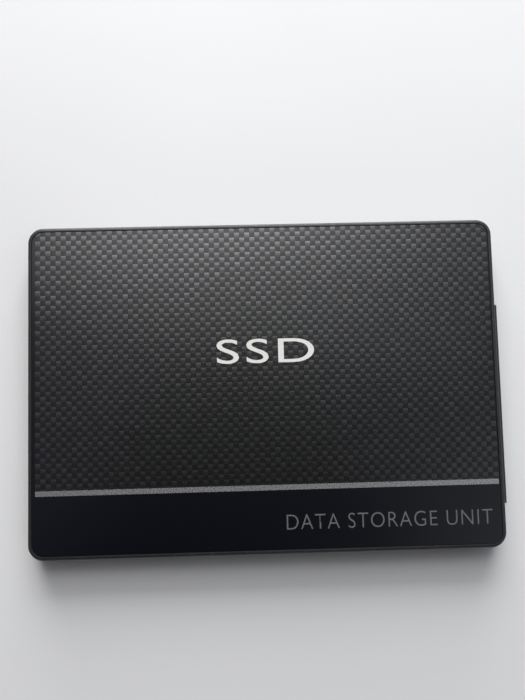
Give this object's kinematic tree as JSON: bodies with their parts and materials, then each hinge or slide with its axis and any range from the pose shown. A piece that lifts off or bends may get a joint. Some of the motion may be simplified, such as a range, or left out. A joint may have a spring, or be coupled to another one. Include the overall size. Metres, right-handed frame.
{
  "type": "solid state drive",
  "caption": "Flat 2.5-inch solid state drive with a clip-on printed cover, threaded fixing points and a recessed keyed serial connector at one end.",
  "frame": {"origin": "middle of the underside of the whole drive, connector included", "axes": "+X towards the connector end, +Y to the drive's left seen from the tail with the printed face up, +Z out of the printed face"},
  "size_m": [0.1004, 0.0698, 0.007],
  "materials": {
    "cover_plastic": "fine satin moulding, black",
    "printed_film": "satin printed film, carbon-weave pattern with a silver stripe",
    "case_plastic": "fine spark-eroded texture, black",
    "label_paper": "matt white label",
    "brass": "turned brass",
    "connector_plastic": "glass-filled moulding, dark grey",
    "gold_plating": "gold-plated copper alloy",
    "tinned_steel": "tin-plated steel",
    "board_laminate": "green solder mask on glass-fibre laminate",
    "zinc_steel": "zinc-plated steel",
    "mould_epoxy": "moulded epoxy with a fine grain",
    "ferrite": "grey moulded ferrite",
    "tantalum_resin": "ochre moulded resin",
    "diode_epoxy": "moulded epoxy",
    "fuse_ceramic": "white ceramic",
    "crystal_can": "plated metal can"
  },
  "bodies": {
    "base": {"base_shell": "case_plastic", "back_label": "label_paper", "circuit_board": "board_laminate", "thread_block_front_left": "brass", "thread_block_front_right": "brass", "thread_block_rear_left": "brass", "thread_block_rear_right": "brass", "connector_housing": "connector_plastic", "data_contact_1": "gold_plating", "data_contact_2": "gold_plating", "data_contact_3": "gold_plating", "data_contact_4": "gold_plating", "data_contact_5": "gold_plating", "data_contact_6": "gold_plating", "data_contact_7": "gold_plating", "power_contact_1": "gold_plating", "power_contact_2": "gold_plating", "power_contact_3": "gold_plating", "power_contact_4": "gold_plating", "power_contact_5": "gold_plating", "power_contact_6": "gold_plating", "power_contact_7": "gold_plating", "power_contact_8": "gold_plating", "power_contact_9": "gold_plating", "power_contact_10": "gold_plating", "power_contact_11": "gold_plating", "power_contact_12": "gold_plating", "power_contact_13": "gold_plating", "power_contact_14": "gold_plating", "power_contact_15": "gold_plating", "connector_clip_left": "tinned_steel", "connector_clip_right": "tinned_steel", "board_screw_1": "zinc_steel", "board_screw_2": "zinc_steel", "board_screw_3": "zinc_steel", "board_screw_4": "zinc_steel", "controller_chip": "mould_epoxy", "nand_flash_1": "mould_epoxy", "nand_flash_2": "mould_epoxy", "nand_flash_3": "mould_epoxy", "nand_flash_4": "mould_epoxy", "power_management_chip": "mould_epoxy", "load_switch_chip": "mould_epoxy", "power_inductor_1": "ferrite", "power_inductor_2": "ferrite", "power_inductor_3": "ferrite", "bulk_capacitor_1": "tantalum_resin", "bulk_capacitor_2": "tantalum_resin", "bulk_capacitor_3": "tantalum_resin", "bulk_capacitor_4": "tantalum_resin", "surge_diode_1": "diode_epoxy", "surge_diode_2": "diode_epoxy", "input_fuse": "fuse_ceramic", "crystal_oscillator": "crystal_can"},
    "cover": {"top_cover": "cover_plastic", "front_film": "printed_film"}
  },
  "joints": [
    {"name": "cover_lift", "type": "slide", "parent": "base", "child": "cover", "axis": [0, 0, 1], "range_m": [0, 0.04]}
  ]
}
